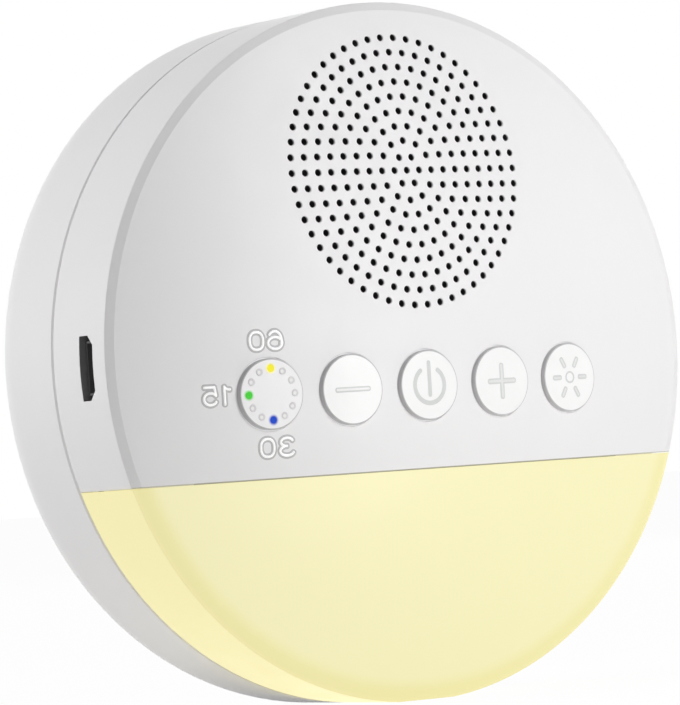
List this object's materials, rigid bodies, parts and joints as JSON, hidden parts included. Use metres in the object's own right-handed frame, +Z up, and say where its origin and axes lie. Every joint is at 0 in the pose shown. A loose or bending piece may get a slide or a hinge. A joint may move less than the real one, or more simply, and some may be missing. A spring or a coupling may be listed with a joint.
{
  "type": "white noise sound machine",
  "caption": "Slim round sound machine that stands on its rim, with a domed perforated face, push buttons, a timer light ring and a translucent night light.",
  "frame": {"origin": "centre of the narrow flat under the rim that the disc stands on", "axes": "-Y out of the domed face, towards the listener; +Z up; +X to the right of someone who looks at the face"},
  "size_m": [0.1, 0.0386, 0.0997],
  "materials": {
    "housing_white": "satin moulded ABS",
    "rear_white": "fine matt moulded ABS",
    "button_white": "satin, slightly glossier than the housing",
    "lens_cream": "frosted translucent plastic",
    "guide_clear": "clear light guide",
    "lamp_resin": "lamp resin",
    "board_green": "glass epoxy with solder mask",
    "board_white": "glass epoxy with white solder mask",
    "dark_plastic": "moulded, matt",
    "plug_ivory": "moulded nylon",
    "steel": "zinc plated",
    "ferrite": "ground ferrite",
    "copper": "wound copper and bare terminals",
    "cone_paper": "pressed paper",
    "soft_rubber": "soft, matt",
    "foam": "closed-cell foam",
    "cloth": "open acoustic cloth",
    "spider_cloth": "resin-stiffened cloth",
    "cell_foil": "laminated foil",
    "wire_red": "insulated stranded wire"
  },
  "bodies": {
    "housing": {"front_housing": "housing_white", "light_diffuser": "lens_cream", "rear_housing": "rear_white", "usb_socket": "steel", "usb_tongue": "dark_plastic", "main_board": "board_green", "board_chips": "dark_plastic", "wire_connectors": "plug_ivory", "switch_bodies": "dark_plastic", "timer_leds": "lamp_resin", "light_board": "board_white", "night_leds": "lamp_resin", "light_board_screws": "steel", "dust_cloth": "cloth", "speaker_gasket": "foam", "speaker_basket": "steel", "speaker_surround": "soft_rubber", "speaker_spider": "spider_cloth", "speaker_top_plate": "steel", "speaker_magnet": "ferrite", "speaker_yoke": "steel", "speaker_terminals": "copper", "speaker_retainer": "rear_white", "speaker_screws": "steel", "battery_cell": "cell_foil", "battery_pad": "foam", "battery_leads": "wire_red", "speaker_leads": "wire_red", "light_leads": "wire_red", "board_screws": "steel", "housing_screws": "steel"},
    "timer_button": {"timer_button": "button_white", "timer_light_guide": "guide_clear", "timer_plunger": "dark_plastic"},
    "minus_button": {"minus_button": "button_white", "minus_plunger": "dark_plastic"},
    "power_button": {"power_button": "button_white", "power_plunger": "dark_plastic"},
    "plus_button": {"plus_button": "button_white", "plus_plunger": "dark_plastic"},
    "light_button": {"light_button": "button_white", "light_plunger": "dark_plastic"},
    "speaker_cone": {"speaker_cone": "cone_paper", "speaker_dust_cap": "cone_paper", "speaker_voice_coil": "copper"}
  },
  "joints": [
    {"name": "timer_press", "type": "slide", "parent": "housing", "child": "timer_button", "axis": [0, 1, 0], "range_m": [0, 0.0004], "stiffness_N_per_m": 2500},
    {"name": "minus_press", "type": "slide", "parent": "housing", "child": "minus_button", "axis": [0, 1, 0], "range_m": [0, 0.0004], "stiffness_N_per_m": 2500},
    {"name": "power_press", "type": "slide", "parent": "housing", "child": "power_button", "axis": [0, 1, 0], "range_m": [0, 0.0004], "stiffness_N_per_m": 2500},
    {"name": "plus_press", "type": "slide", "parent": "housing", "child": "plus_button", "axis": [0, 1, 0], "range_m": [0, 0.0004], "stiffness_N_per_m": 2500},
    {"name": "light_press", "type": "slide", "parent": "housing", "child": "light_button", "axis": [0, 1, 0], "range_m": [0, 0.0004], "stiffness_N_per_m": 2500},
    {"name": "cone_travel", "type": "slide", "parent": "housing", "child": "speaker_cone", "axis": [0, 1, 0], "range_m": [-0.0005, 0.0005], "stiffness_N_per_m": 2000, "deforming": ["speaker_surround", "speaker_spider"]}
  ]
}
